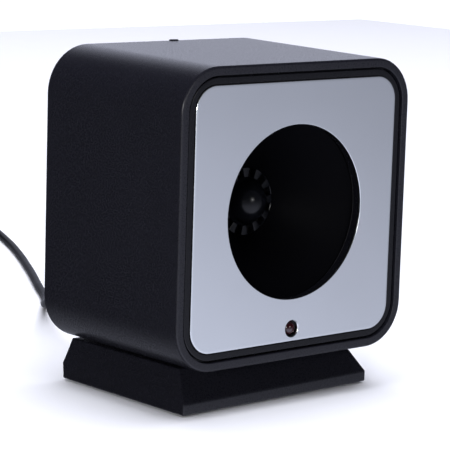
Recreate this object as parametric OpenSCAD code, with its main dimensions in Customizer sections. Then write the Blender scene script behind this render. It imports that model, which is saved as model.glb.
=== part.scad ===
// Ultrasonic pest repeller: a square moulded housing with a round horn behind a metal
// front plate, standing on a wedge-sided pedestal that it can be swivelled on, with a
// thin captive lead to a small plug-in adapter.
//
// Frame: X to the right seen from the front, Y from the front to the back, Z up.
// The origin is on the table, under the middle of the housing and its switch.
// Inside the housing, lengths run from the middle of the front face: see in_housing().

/* [Housing] */
// Width of the housing across its front
body_w = 96; // [92:1:120]
// Height of the housing at its front
body_h = 96; // [94:1:120]
// Depth of the housing, front to back
body_d = 69; // [66:1:90]
// Radius of the four long corners at the front
corner_r = 14.5; // [12.5:0.5:16]
// How much further each side stands out at the back than at the front
draft = 1; // [0.6:0.1:1.4]
// Thickness of the housing's wall
wall = 2.4; // [2:0.1:2.7]
// Width of the front rim around the panel
rim_w = 2.9; // [2.4:0.1:3.2]
// Radius of the rim's outer edge
edge_r = 0.8; // [0.5:0.1:1.5]

/* [Front panel] */
// Width of the groove between the rim and the panel
groove_w = 0.45; // [0.3:0.05:0.7]
// How far the panel's face lies behind the rim
panel_back = 0.6; // [0.4:0.1:1]
// Thickness of the panel
panel_t = 3.6; // [3.2:0.1:4.5]
// Distance from the housing's side to the metal plate's edge
plate_in = 5.9; // [5.7:0.1:6.4]
// Thickness of the metal plate
plate_t = 1; // [0.8:0.1:1.4]
// Radius of the metal plate's corners
plate_r = 8; // [6:0.5:9]
// How far the metal plate stands out from the panel's face
plate_proud = 0.25; // [0.1:0.05:0.35]
// Diameter of the round opening in the metal plate
mouth_d = 56.4; // [46:0.2:57]
// Diameter of the indicator lamp
led_d = 5; // [4:0.5:5]
// Height of the lamp above the housing's bottom edge
led_up = 10; // [9.6:0.1:10.6]

/* [Horn] */
// Radius of the horn's throat
throat_r = 11; // [10:0.5:12]
// Length of the flare, from its mouth to its throat
flare_l = 20; // [16:1:22]
// Thickness of the horn's wall
horn_t = 2; // [1.6:0.1:2.4]
// Distance of the horn's screws from its axis
ear_r = 37; // [36.6:0.1:37.5]
// Diameter of the dome in the throat
dome_d = 15; // [13:0.5:16]
// Number of slots around the dome
slot_count = 12; // [8:1:14]

/* [Back cover] */
// Thickness of the back cover
cover_t = 2.6; // [2.2:0.1:3]
// Number of ventilation slots
vent_count = 7; // [3:1:7]
// Length of a ventilation slot
vent_l = 40; // [20:1:44]
// Distance from the housing's side to the cover's screws
screw_in = 8.5; // [8.2:0.1:9]
// Width of the switch's bezel
switch_w = 21; // [19:0.5:22]
// Height of the switch's bezel
switch_h = 15; // [14:0.5:16]
// Angle that the rocker stands out at, to each side
rocker_tilt = 9; // [6:0.5:10]

/* [Circuit board] */
// Width of the board
board_w = 68; // [66:1:76]
// Height of the board
board_h = 40; // [39:1:44]
// Thickness of the board
board_t = 1.6; // [1:0.1:2]
// Free height between the board and the back cover
board_gap = 8.8; // [8:0.1:9]

/* [Pedestal] */
// Width of the pedestal at its foot
stand_w = 81.4; // [66:0.1:98]
// Depth of the pedestal at its foot
stand_d = 61.8; // [58:0.1:66]
// Height of the pedestal
stand_h = 13.3; // [11:0.1:18]
// Height of the upright lip around the pedestal's foot
lip_h = 3.6; // [2.5:0.1:5]
// How far each side slopes in
side_slope = 4.3; // [2:0.1:6]
// How far the front slopes in
front_slope = 7.6; // [4:0.1:8]
// Thickness of the pedestal's wall
stand_wall = 2.4; // [2:0.1:3]
// How far the rubber feet stand out below the pedestal
foot_out = 0.6; // [0.4:0.1:1.5]
// Angle that the pedestal stands turned under the housing
stand_turn = 2; // [-5:0.5:5]
// Angle that the pedestal turns to each side
swivel_limit = 60; // [30:5:70]
// Diameter of the spigot that the pedestal turns on
spigot_d = 12; // [10:0.5:13]

/* [Lead and adapter] */
// Diameter of the lead
cord_d = 3.2; // [2.8:0.1:3.4]
// Distance of the lead's exit from the housing's middle
exit_side = 18; // [16:1:20]
// Height of the lead's exit above the housing's bottom edge
exit_up = 13; // [12:0.5:15]
// Length of the strain relief outside the back cover
grip_l = 18; // [15:1:22]
// Width of the adapter
adapter_w = 34; // [30:1:40]
// Length of the adapter
adapter_l = 50; // [44:1:60]
// Thickness of the adapter
adapter_t = 27; // [25:1:32]

/* [Hidden] */

$fn = 64;
eps = 0.01;
// Room around a piece that drops into a recess
slack = 0.15;
// Running clearance of the turning pieces
fit_gap = 0.05;

// Housing
bottom_z = -body_h / 2;
back_w = body_w + 2 * draft;
back_h = body_h + 2 * draft;
back_r = corner_r + draft;
cover_y = body_d - cover_t;
shelf_w = 2.4;
shelf_t = 2;
boss_r = 4;
boss_l = 15;
screw_x = back_w / 2 - screw_in;
screw_z = back_h / 2 - screw_in;
screw_hole_r = 1.1;
tab_x = 2.7;

// Front panel, plate and lamp
seat_y = panel_back + panel_t;
panel_w = body_w - 2 * rim_w - 2 * slack;
panel_h = body_h - 2 * rim_w - 2 * slack;
panel_r = corner_r - rim_w - slack;
groove_deep = 1.2;
plate_w = body_w - 2 * plate_in;
plate_h = body_h - 2 * plate_in;
plate_gap = 0.25;
tape_t = 0.25;
plate_y = panel_back - plate_proud;
tape_y = plate_y + plate_t;
recess_y = tape_y + tape_t;
led_z = bottom_z + led_up;
led_r = led_d / 2;
led_flange = 0.4;
lead_l = 10;

// Horn and driver
gasket_t = 0.8;
flange_y = seat_y + gasket_t;
flange_t = 2.5;
flange_r = 33;
mouth_r = mouth_d / 2 + 0.4;
flare_steps = 12;
throat_y = flange_y + flare_l;
ear_rad = 4;
driver_r = 19;
driver_l = 14;
driver_wall = 1.8;
plug_t = 2.4;
plug_r = driver_r - driver_wall - fit_gap;
cone_y = throat_y + plug_t;
cone_l = 6;
cone_t = 0.5;
piezo_t = 0.6;
piezo_r = 11;
piezo_y = cone_y + cone_l;
cap_y = throat_y + driver_l;
tag_l = 4;
tag_x = 7;
tag_y = cap_y + tag_l;

// Board, seen from the front: places are given from the middle of the housing
board_y = cover_y - board_gap - board_t;
board_z = 14;
post_x = board_w / 2 - 4;
post_z = board_h / 2 - 4;
post_r = 3;
core_x = -17;
core_z = board_z + 6;
// Upright capacitors: place across, place up, radius, height
CAPACITORS = [[4, 26, 4, 10], [14, 26, 3.2, 9], [22, 26, 3.2, 9]];
// Two-way sockets along the board's lower edge: lamp, horn, power
SOCKETS = [-20, -6, 22];
socket_z = -2;
wire_r = 0.6;

// Switch: the rocker turns about an upright pin
switch_x = 18;
switch_z = bottom_z + 18;
case_w = switch_w - 2.2;
case_h = switch_h - 2.2;
bezel_t = 1;
switch_deep = 12;
case_y = body_d - switch_deep;
bezel_y = body_d + bezel_t;
rocker_h = case_h - 4.2;
rocker_r = case_w / 2 - 2;
rocker_y = bezel_y - 3;
rocker_mid = 3.3;
rocker_pin_r = 1.2;
rocker_rise = tan(rocker_tilt);
rocker_edge = (sqrt(rocker_r * rocker_r * (1 + rocker_rise * rocker_rise) - rocker_mid * rocker_mid)
               - rocker_mid * rocker_rise) / (1 + rocker_rise * rocker_rise);
rocker_top = rocker_mid + rocker_edge * rocker_rise;
switch_tag_x = 4.6;
switch_tag_l = 6;

// Pedestal and swivel
pivot_y = body_d - stand_d / 2;
stand_top_z = bottom_z - draft - 0.3;
foot_z = stand_top_z - stand_h;
top_plate_t = 3;
lip_rise = 1.6;
foot_r = 4.5;
foot_x = stand_w / 2 - 9;
foot_y = stand_d / 2 - 9;
pad_r = 22;
pad_z = stand_top_z + 0.1;
ring_t = 0.65;
ring_r = 14;
spigot_r = spigot_d / 2;
spigot_end_z = stand_top_z - top_plate_t - 0.1;
shank_r = 1.6;
washer_t = 1.2;
washer_r = 10;
stop_r = 17.5;
stop_pin_r = 1.6;
stop_slot_r = 1.8;

// The housing's frame in the table frame
rear_y = rocker_y + rocker_edge * sin(rocker_tilt) + rocker_top * cos(rocker_tilt);
front_y = -rear_y / 2;
housing_z = foot_out - foot_z;

// Lead, from the end of the strain relief: across, back, and height as a share of the exit's
cord_r = cord_d / 2;
exit_x = -exit_side;
exit_z = bottom_z + exit_up;
grip_y = front_y + body_d + grip_l;
exit_h = housing_z + exit_z;
ROUTE = [[0, 0, 1], [0, 4, 0.99], [1, 10, 0.95], [2.5, 18, 0.83], [6, 28, 0.65], [11, 37, 0.48],
         [17, 47, 0.34], [24, 58, 0.2], [32, 70, 0.09], [40.5, 81.5, 0.02], [47.5, 92.5, 0],
         [55, 106.5, 0], [62.5, 120, 0], [70, 133.5, 0], [77.3, 147.3, 0], [84.3, 160.6, 0],
         [91, 174, 0], [97.5, 187.5, 0], [103.3, 200.7, 0], [108.8, 213.6, 0], [114, 227, 0.004],
         [118.3, 240, 0.015], [120.2, 252, 0.026]];
// Middle of the coil from the end of the strain relief, and the bundle's size
coil_x = 99;
coil_y = 252;
coil_r = 18;
coil_w = 10.8;
coil_h = 13.6;
TAIL = [[84.2, 252, 0.84], [84.4, 244, 0.84], [83.4, 236, 0.83], [81, 228, 0.74], [76, 219, 0.45],
        [69, 212, 0.17], [60, 208, 0.02], [51, 208, 0.01], [43, 212, 0.16], [37.5, 219, 0.55],
        [35, 227, 0.9], [35, 234, 1]];
plug_h = adapter_t / 2;
collar_r = 3.6;
collar_l = 9;
pin_r = 2;
pin_l = 19;
pin_gap = 19;

// ---------------------------------------------------------------- shared shapes

// Moves pieces from the housing's own frame to the table frame
module in_housing() {
    translate([0, front_y, housing_z]) children();
}

// Moves pieces from the pedestal's frame, under its pivot, to the table frame
module in_stand() {
    translate([0, front_y + pivot_y, foot_out]) rotate([0, 0, stand_turn]) children();
}

// Moves pieces from the end of the strain relief, on the table, to the table frame
module behind() {
    translate([exit_x, grip_y, 0]) children();
}

// Flat rectangle with round corners, centred
module rounded(w, h, r) {
    square([w - 2 * r, h], center = true);
    square([w, h - 2 * r], center = true);
    for (sx = [-1, 1], sy = [-1, 1])
        translate([sx * (w / 2 - r), sy * (h / 2 - r)]) circle(r);
}

// Stands a flat outline up and gives it depth from y0 to y1
module slab(y0, y1) {
    translate([0, y1, 0]) rotate([90, 0, 0]) linear_extrude(y1 - y0) children();
}

// Round bar or hole along Y
module bar(r, y0, y1, x = 0, z = 0) {
    translate([x, y1, z]) rotate([90, 0, 0]) cylinder(r = r, h = y1 - y0);
}

// Turned piece about the Y axis: the outline's X is the radius, its Y the depth
module turned() {
    mirror([0, 1, 0]) rotate([90, 0, 0]) rotate_extrude() children();
}

// Box by its middle in X and Z and its two ends in Y
module block(x, z, w, h, y0, y1) {
    translate([x - w / 2, y0, z - h / 2]) cube([w, y1 - y0, h]);
}

// Puts a copy at each of the four corners of a rectangle in the XZ plane
module at_corners(x, z) {
    for (sx = [-1, 1], sz = [-1, 1])
        translate([sx * x, 0, sz * z]) children();
}

// Cross-head screw: head under y0, shank from y0 towards y1
module screw(head_r, head_t, shank, y0, y1) {
    translate([0, y0, 0]) rotate([y1 > y0 ? -90 : 90, 0, 0]) difference() {
        union() {
            cylinder(r = shank, h = abs(y1 - y0));
            translate([0, 0, -head_t]) cylinder(r = head_r, h = head_t);
        }
        for (a = [0, 90])
            rotate([0, 0, a]) translate([-head_r * 0.55, -0.35, -head_t - eps])
                cube([head_r * 1.1, 0.7, head_t * 0.55]);
    }
}

// Route with a point added in the middle of every step, on a smooth line
function smooth(p) = [for (i = [0:len(p) - 2], s = [0, 1])
    let (a = p[max(i - 1, 0)], b = p[i], c = p[i + 1], d = p[min(i + 2, len(p) - 1)])
    s == 0 ? b : (b + c) * 0.5625 - (a + d) * 0.0625, p[len(p) - 1]];

// Unit direction of a route at one of its points
function heading(p, i) =
    let (d = p[min(i + 1, len(p) - 1)] - p[max(i - 1, 0)]) d / norm(d);

// Part of u that is square to the direction t, at unit length
function square_to(u, t) = let (v = u - (u * t) * t) v / norm(v);

// Side direction at every point of a route, carried along without twisting
function carried(p, u0) =
    [for (i = 0, u = square_to(u0, heading(p, 0)); i < len(p);
          i = i + 1, u = i < len(p) ? square_to(u, heading(p, i)) : u) u];

// Round tube swept along a route, with a ring of n points at each route point
module tube(p, r, n = 8, u0 = [0.3, 0.1, 0.95]) {
    sides = carried(p, u0);
    rings = [for (i = [0:len(p) - 1])
        let (u = sides[i], v = cross(heading(p, i), u))
        for (j = [0:n - 1]) p[i] + r * (cos(360 * j / n) * u + sin(360 * j / n) * v)];
    last = (len(p) - 1) * n;
    walls = [for (i = [0:len(p) - 2], j = [0:n - 1])
        let (k = (j + 1) % n, a = i * n, b = (i + 1) * n)
        each [[a + j, a + k, b + k], [a + j, b + k, b + j]]];
    polyhedron(rings, concat(walls, [[for (j = [n - 1:-1:0]) j]], [[for (j = [0:n - 1]) last + j]]));
}

// ---------------------------------------------------------------- housing

// Drafted outside with its round front edge
module housing_outside() {
    steps = 4;
    hull() {
        for (k = [0:steps]) {
            a = 90 * k / steps;
            inset = edge_r * (1 - sin(a));
            y = edge_r * (1 - cos(a));
            slab(y, y + eps) rounded(body_w - 2 * inset, body_h - 2 * inset, corner_r - inset, $fn = 48);
        }
        slab(body_d - eps, body_d) rounded(back_w, back_h, back_r, $fn = 48);
    }
}

// Drafted space inside the walls
module housing_inside() {
    y0 = seat_y + shelf_t;
    hull() {
        slab(y0, y0 + eps)
            rounded(body_w - 2 * wall, body_h - 2 * wall, corner_r - wall, $fn = 48);
        slab(body_d, body_d + eps)
            rounded(back_w - 2 * wall, back_h - 2 * wall, back_r - wall, $fn = 48);
    }
}

// Turntable pad, spigot and stop lug under the floor
module housing_foot() {
    translate([0, pivot_y, 0]) {
        translate([0, 0, pad_z]) cylinder(r = pad_r, h = bottom_z + wall - pad_z);
        translate([0, 0, spigot_end_z]) cylinder(r = spigot_r, h = bottom_z + 8 - spigot_end_z);
        translate([0, -stop_r, pad_z - top_plate_t + 0.5])
            cylinder(r = stop_pin_r, h = top_plate_t);
    }
}

module housing_shell() {
    rim_x = body_w - 2 * rim_w;
    rim_z = body_h - 2 * rim_w;
    color("#1b1b20") in_housing() difference() {
        union() {
            difference() {
                housing_outside();
                slab(-1, seat_y) rounded(rim_x, rim_z, corner_r - rim_w);
                slab(seat_y - 1, seat_y + shelf_t + 1)
                    rounded(rim_x - 2 * shelf_w, rim_z - 2 * shelf_w, corner_r - rim_w - shelf_w);
                housing_inside();
                slab(cover_y, body_d + 1) rounded(back_w - 2.8, back_h - 2.8, back_r - 1.4);
                block(tab_x, back_h / 2, 3.4, 4, body_d - 1.6, body_d + 1);
            }
            at_corners(screw_x, screw_z) bar(boss_r, cover_y - boss_l, cover_y);
            housing_foot();
        }
        at_corners(screw_x, screw_z) bar(screw_hole_r, cover_y - boss_l + 2, cover_y + 1);
        translate([0, pivot_y, pad_z - 1]) difference() {
            cylinder(r = ring_r + slack, h = ring_t - fit_gap + 1);
            translate([0, 0, -1]) cylinder(r = spigot_r, h = ring_t + 4);
        }
        translate([0, pivot_y, spigot_end_z - 1]) cylinder(r = shank_r, h = 12);
    }
}

module front_panel() {
    thin = groove_w - slack;
    color("#1d1d22") in_housing() difference() {
        union() {
            slab(panel_back + groove_deep, seat_y) rounded(panel_w, panel_h, panel_r);
            slab(panel_back, seat_y) rounded(panel_w - 2 * thin, panel_h - 2 * thin, panel_r - thin);
            for (a = [45:90:315])
                rotate([0, a, 0]) bar(ear_rad, seat_y - 1, flange_y, ear_r);
        }
        slab(0, recess_y)
            rounded(plate_w + 2 * plate_gap, plate_h + 2 * plate_gap, plate_r + plate_gap);
        bar(mouth_r, 0, flange_y + 1);
        bar(led_r + 0.05, 0, seat_y + 1, 0, led_z);
        for (a = [45:90:315])
            rotate([0, a, 0]) bar(screw_hole_r, recess_y + 0.4, flange_y + 1, ear_r);
    }
}

module faceplate() {
    color("#b6bac4") in_housing() difference() {
        slab(plate_y, tape_y) rounded(plate_w, plate_h, plate_r);
        bar(mouth_d / 2, -1, tape_y + 1);
        bar(led_r + 0.15, -1, tape_y + 1, 0, led_z);
    }
}

module faceplate_tape() {
    color("#e6e3da") in_housing() difference() {
        slab(tape_y, recess_y) rounded(plate_w - 3, plate_h - 3, plate_r - 1.5);
        bar(mouth_r + 1, 0, recess_y + 1);
        bar(led_r + 1.5, 0, recess_y + 1, 0, led_z);
    }
}

// ---------------------------------------------------------------- indicator lamp

module led_lens() {
    dome_y = plate_y - 0.2 + led_r;
    color("#5a1218") in_housing() union() {
        bar(led_r, dome_y, seat_y + 1, 0, led_z);
        translate([0, dome_y, led_z]) sphere(r = led_r);
        bar(led_r + led_flange, seat_y, seat_y + 1, 0, led_z);
    }
}

module led_leads() {
    color("#c4c4c8") in_housing() for (s = [-1, 1])
        block(s * 1.27, led_z, 0.5, 0.5, seat_y + 1, seat_y + 1 + lead_l);
}

module led_clip() {
    color("#1a1a1a") in_housing() difference() {
        bar(led_r + 1, seat_y, seat_y + 4, 0, led_z);
        bar(led_r + led_flange, seat_y - 1, seat_y + 1, 0, led_z);
        bar(led_r - 0.3, seat_y, seat_y + 5, 0, led_z);
    }
}

// ---------------------------------------------------------------- horn and driver

// Radius of the flare at a share s of its length
function flare(s) = mouth_r * pow(throat_r / mouth_r, s);

module horn() {
    shares = [for (k = [0:flare_steps]) k / flare_steps];
    inner = [for (s = shares) [flare(s), flange_y + s * flare_l]];
    outer = [for (s = shares) [flare(1 - s) + horn_t, flange_y + (1 - s) * flare_l]];
    color("#141417") in_housing() difference() {
        union() {
            turned() polygon(concat(inner, outer));
            bar(flange_r, flange_y, flange_y + flange_t);
            bar(driver_r, throat_y - 3, throat_y);
            for (a = [45:90:315]) rotate([0, a, 0]) {
                bar(ear_rad, flange_y, flange_y + flange_t, ear_r);
                block(ear_r - 4, 0, 8, 2 * ear_rad, flange_y, flange_y + flange_t);
            }
        }
        turned() polygon(concat([[0, flange_y - 1], [mouth_r, flange_y - 1]], inner,
                                [[throat_r, throat_y + 1], [0, throat_y + 1]]));
        for (a = [45:90:315])
            rotate([0, a, 0]) bar(1.5, flange_y - 1, flange_y + flange_t + 1, ear_r);
    }
}

module horn_gasket() {
    color("#2b2b2b") in_housing() difference() {
        bar(flange_r, seat_y, flange_y);
        bar(mouth_r + 0.6, seat_y - 1, flange_y + 1);
    }
}

module horn_screws() {
    color("#9a9aa0") in_housing() for (a = [45:90:315])
        rotate([0, a, 0]) translate([ear_r, 0, 0])
            screw(2.4, 1.6, screw_hole_r, flange_y + flange_t, recess_y + 0.8);
}

module phase_plug() {
    dome_r = dome_d / 2;
    slot_in = dome_r + 0.7;
    color("#17171b") in_housing() union() {
        difference() {
            bar(plug_r, throat_y, throat_y + plug_t);
            for (k = [0:slot_count - 1]) rotate([0, 360 * (k + 0.5) / slot_count, 0])
                block((slot_in + throat_r) / 2, 0, throat_r - slot_in, 2.4, throat_y - 1, cone_y + 1);
        }
        intersection() {
            translate([0, throat_y + 1, 0]) sphere(r = dome_r);
            bar(dome_r + 1, throat_y - dome_r, throat_y + 1);
        }
    }
}

module diaphragm() {
    color("#6b5a44") in_housing() turned()
        polygon([[0, piezo_y - cone_t], [4 - cone_t, piezo_y - cone_t], [14 - cone_t, cone_y],
                 [plug_r, cone_y], [plug_r, cone_y + cone_t], [14, cone_y + cone_t],
                 [4, piezo_y], [0, piezo_y]]);
}

module piezo_disc() {
    color("#c9a44a") in_housing() bar(piezo_r, piezo_y, piezo_y + piezo_t);
}

module driver_cap() {
    color("#101013") in_housing() difference() {
        bar(driver_r, throat_y, cap_y);
        bar(driver_r - driver_wall, throat_y - 1, cap_y - driver_wall);
        for (s = [-1, 1]) block(s * tag_x, 0, 2.8, 0.8, cap_y - 3, cap_y + 1);
    }
}

module driver_tags() {
    color("#c9a86a") in_housing() for (s = [-1, 1])
        block(s * tag_x, 0, 2.8, 0.8, cap_y - driver_wall - 1.5, tag_y);
}

// ---------------------------------------------------------------- circuit board

module main_board() {
    color("#1f5a3a") in_housing() difference() {
        block(0, board_z, board_w, board_h, board_y, board_y + board_t);
        translate([0, 0, board_z]) at_corners(post_x, post_z)
            bar(1.4, board_y - 1, board_y + board_t + 1);
    }
}

module board_screws() {
    color("#a8a8ae") in_housing() translate([0, 0, board_z]) at_corners(post_x, post_z)
        screw(2.3, 1.5, screw_hole_r, board_y, board_y + board_t + 5);
}

module transformer_core() {
    color("#3a3a3d") in_housing() difference() {
        block(core_x, core_z, 14, 13, board_y - 8, board_y - 2);
        for (s = [-1, 1]) block(core_x + s * 3.3, core_z, 3.2, 8.4, board_y - 9, board_y);
    }
}

module transformer_coil() {
    color("#b0703a") in_housing() difference() {
        block(core_x, core_z, 9.6, 8.2, board_y - 10, board_y);
        block(core_x, core_z, 3.4, 9, board_y - 8, board_y - 2);
    }
}

module capacitors() {
    color("#22304f") in_housing() for (c = CAPACITORS)
        translate([c[0], board_y, c[1]]) rotate([90, 0, 0]) difference() {
            cylinder(r = c[2], h = c[3]);
            translate([0, 0, 1.8]) rotate_extrude() translate([c[2] + 0.1, 0]) circle(0.5, $fn = 16);
        }
}

module chips() {
    color("#15151a") in_housing() for (c = [[12, 19, 3], [-4, 9.4, 1.5]]) {
        block(c[0], board_z, c[1], 6.4, board_y - 4, board_y - 0.6);
        for (k = [-c[2]:c[2]], s = [-1, 1])
            block(c[0] + 2.54 * k, board_z + s * 3.81, 0.5, 1.22, board_y - 2.2, board_y);
    }
}

module resistors() {
    color("#c8ad82") in_housing() for (k = [0:5]) translate([-5 + 5 * k, board_y - 1.3, board_z - 8.7]) {
        cylinder(r = 1.1, h = 5.4, center = true);
        cylinder(r = 0.3, h = 7.6, center = true);
        for (s = [-1, 1]) bar(0.3, 0, 1.3, 0, s * 3.5);
    }
}

module board_sockets() {
    color("#e8e6dc") in_housing() for (x = SOCKETS)
        difference() {
            block(x, socket_z, 7.4, 5.8, board_y - 7, board_y);
            for (s = [-1, 1]) block(x + s * 1.25, socket_z, 1.9, 3.4, board_y - 8, board_y - 3);
        }
}

// ---------------------------------------------------------------- inner wiring

// Last steps of a wire into a hole of a socket on the board
function into_socket(x) = [[x, board_y - 9, socket_z - 1.2], [x, board_y - 7, socket_z - 0.2],
                           [x, board_y - 5, socket_z], [x, board_y - 3, socket_z]];

module horn_wires() {
    near = SOCKETS[1] - 1.25;
    far = SOCKETS[1] + 1.25;
    color("#b03030") in_housing() {
        tube(smooth(concat([[tag_x, tag_y, 0], [tag_x, tag_y + 1.6, -0.8], [6.4, tag_y + 2.8, -4],
                            [3.4, tag_y + 3, -8], [-1.2, tag_y + 3, -8.6], [-4.2, tag_y + 3, -6.2]],
                           into_socket(far))), wire_r);
        tube(smooth(concat([[-tag_x, tag_y, 0], [-tag_x, tag_y + 1.4, -0.6], [-8.8, tag_y + 2.2, -3.4],
                            [-8.4, tag_y + 2.8, -5.2]], into_socket(near))), wire_r);
    }
}

module led_wires() {
    y0 = seat_y + 1 + lead_l;
    color("#3050a0") in_housing() for (s = [-1, 1])
        tube(smooth(concat([[s * 1.27, y0, led_z], [s * 1.5 - 0.5, y0 + 4, led_z + 0.5],
                            [s * 1.5 - 6, y0 + 11, led_z + 2], [s * 1.5 - 13, y0 + 19, led_z + 7],
                            [s * 1.4 - 18, y0 + 27, -20], [s * 1.3 - 20, board_y - 10, -9]],
                           into_socket(SOCKETS[0] + s * 1.25))), wire_r);
}

module power_wires() {
    x = SOCKETS[2];
    inside_y = cover_y - 6;
    tag_end = case_y - switch_tag_l;
    color("#c9b04a") in_housing() {
        tube(smooth(concat([[exit_x, inside_y, exit_z + 1], [exit_x + 1, inside_y - 4, exit_z + 2],
                            [exit_x + 8, inside_y - 11, exit_z + 6], [-2, board_y - 14, -22],
                            [12, board_y - 14, -14], [x - 2, board_y - 12, -7]],
                           into_socket(x - 1.25))), wire_r);
        tube(smooth([[exit_x, inside_y, exit_z - 1], [exit_x + 2, inside_y - 4, exit_z - 1.4],
                     [exit_x + 9, inside_y - 10, exit_z - 1], [2, tag_end - 6, switch_z - 3],
                     [9, tag_end - 7, switch_z - 1], [switch_x - switch_tag_x, tag_end - 3.5, switch_z],
                     [switch_x - switch_tag_x, tag_end, switch_z]]), wire_r);
        tube(smooth(concat([[switch_x + switch_tag_x, tag_end, switch_z],
                            [switch_x + switch_tag_x + 0.3, tag_end - 3, switch_z + 1],
                            [x + 2.2, tag_end - 4.5, switch_z + 8], [x + 2, board_y - 12, -10]],
                           into_socket(x + 1.25))), wire_r);
    }
}

// ---------------------------------------------------------------- back cover and switch

module back_cover() {
    edge = 1.4 + slack;
    color("#1b1b20") in_housing() difference() {
        union() {
            slab(cover_y, body_d) rounded(back_w - 2 * edge, back_h - 2 * edge, back_r - edge);
            translate([0, 0, board_z]) at_corners(post_x, post_z)
                bar(post_r, board_y + board_t, cover_y + 1);
            block(tab_x, back_h / 2 - 0.8, 3, 2.4, body_d - 1.4, body_d);
            bar(5.5, cover_y - 3, cover_y + 1, exit_x, exit_z);
        }
        for (k = [0:vent_count - 1])
            slab(cover_y - 1, body_d + 1) translate([0, board_z + 4 * (k - (vent_count - 1) / 2)])
                rounded(vent_l, 1.8, 0.88);
        at_corners(screw_x, screw_z) {
            bar(1.6, cover_y - 1, body_d + 1);
            bar(3.1, body_d - 1.3, body_d + 1);
        }
        translate([0, 0, board_z]) at_corners(post_x, post_z)
            bar(screw_hole_r, board_y, cover_y);
        block(switch_x, switch_z, case_w + 0.1, case_h + 0.1, cover_y - 1, body_d + 1);
        bar(3.2, cover_y - 4, body_d + 1, exit_x, exit_z);
    }
}

module cover_screws() {
    color("#2c2c30") in_housing() at_corners(screw_x, screw_z)
        screw(2.9, 1.2, screw_hole_r, body_d - 1.3, cover_y - boss_l + 4);
}

module switch_case() {
    room = rocker_r + slack;
    color("#141416") in_housing() difference() {
        union() {
            block(switch_x, switch_z, case_w, case_h, case_y, body_d);
            slab(body_d, bezel_y) translate([switch_x, switch_z]) rounded(switch_w, switch_h, 1.5);
        }
        block(switch_x, switch_z, 2 * room, rocker_h + 0.3, rocker_y, bezel_y + 1);
        translate([switch_x, rocker_y, switch_z]) {
            cylinder(r = room, h = rocker_h + 0.3, center = true);
            cylinder(r = rocker_pin_r + fit_gap, h = rocker_h + 2.4, center = true);
        }
    }
}

module switch_rocker() {
    color("#0c0c0e") in_housing() translate([switch_x, rocker_y, switch_z]) rotate([0, 0, rocker_tilt]) {
        intersection() {
            cylinder(r = rocker_r, h = rocker_h, center = true);
            linear_extrude(rocker_h, center = true)
                polygon([[-rocker_r - 1, rocker_mid + (rocker_r + 1) * rocker_rise], [-rocker_r - 1, -4],
                         [rocker_r + 1, -4], [rocker_r + 1, rocker_mid + (rocker_r + 1) * rocker_rise],
                         [0, rocker_mid]]);
        }
        cylinder(r = rocker_pin_r, h = rocker_h + 2, center = true);
    }
}

module switch_tags() {
    color("#c9a86a") in_housing() for (s = [-1, 1])
        block(switch_x + s * switch_tag_x, switch_z, 0.8, 4.8, case_y - switch_tag_l, case_y);
}

// ---------------------------------------------------------------- swivel and pedestal

module friction_ring() {
    color("#d8d8d0") in_housing() translate([0, pivot_y, stand_top_z + fit_gap]) difference() {
        cylinder(r = ring_r, h = pad_z + ring_t - 2 * fit_gap - stand_top_z);
        translate([0, 0, -1]) cylinder(r = spigot_r, h = ring_t + 3);
    }
}

module swivel_washer() {
    color("#b4b4b8") in_housing() translate([0, pivot_y, spigot_end_z - washer_t]) difference() {
        cylinder(r = washer_r, h = washer_t);
        translate([0, 0, -1]) cylinder(r = shank_r + 0.2, h = washer_t + 2);
    }
}

module swivel_screw() {
    color("#a0a0a6") in_housing() translate([0, pivot_y, spigot_end_z - washer_t]) rotate([90, 0, 0])
        screw(3.2, 2, shank_r, 0, 9);
}

// Solid with an upright lip and back, a sloping front and two flat sloping sides, which
// leave the lip a little higher at the back
module wedge(w, d, h) {
    run = side_slope / (h - lip_h - lip_rise * front_slope / d);
    back_in = run * (h - lip_h - lip_rise);
    hull() {
        translate([-w / 2, -d / 2, 0]) cube([w, d, lip_h]);
        translate([-w / 2, d / 2 - eps, 0]) cube([w, eps, lip_h + lip_rise]);
        linear_extrude(h) polygon([[side_slope - w / 2, front_slope - d / 2],
                                   [w / 2 - side_slope, front_slope - d / 2],
                                   [w / 2 - back_in, d / 2], [back_in - w / 2, d / 2]]);
    }
}

module stand() {
    inner_h = stand_h - top_plate_t;
    color("#1a1a1f") in_stand() difference() {
        wedge(stand_w, stand_d, stand_h);
        translate([0, 0, -eps]) difference() {
            wedge(stand_w - 2 * stand_wall, stand_d - 2 * stand_wall, inner_h + eps);
            for (sx = [-1, 1], sy = [-1, 1])
                translate([sx * foot_x, sy * foot_y, -1]) cylinder(r = foot_r + 2, h = stand_h);
        }
        for (sx = [-1, 1], sy = [-1, 1])
            translate([sx * foot_x, sy * foot_y, -1]) cylinder(r = foot_r + slack, h = 2);
        translate([0, 0, inner_h - 1]) {
            cylinder(r = spigot_r + fit_gap, h = top_plate_t + 2);
            rotate([0, 0, -90 - swivel_limit]) rotate_extrude(angle = 2 * swivel_limit)
                translate([stop_r - stop_slot_r, 0]) square([2 * stop_slot_r, top_plate_t + 2]);
            for (s = [-1, 1]) rotate([0, 0, -90 + s * swivel_limit])
                translate([stop_r, 0, 0]) cylinder(r = stop_slot_r, h = top_plate_t + 2);
        }
    }
}

module stand_feet() {
    color("#2a2a2a") in_stand() for (sx = [-1, 1], sy = [-1, 1])
        translate([sx * foot_x, sy * foot_y, -foot_out]) cylinder(r = foot_r, h = foot_out + 1);
}

// ---------------------------------------------------------------- lead, coil and adapter

// Points of a route of the lead, its low end at cord_low and its high end at the height top
function route(rows, top) =
    [for (p = rows) [exit_x + p[0], grip_y + p[1], cord_r + p[2] * (top - cord_r)]];

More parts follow.
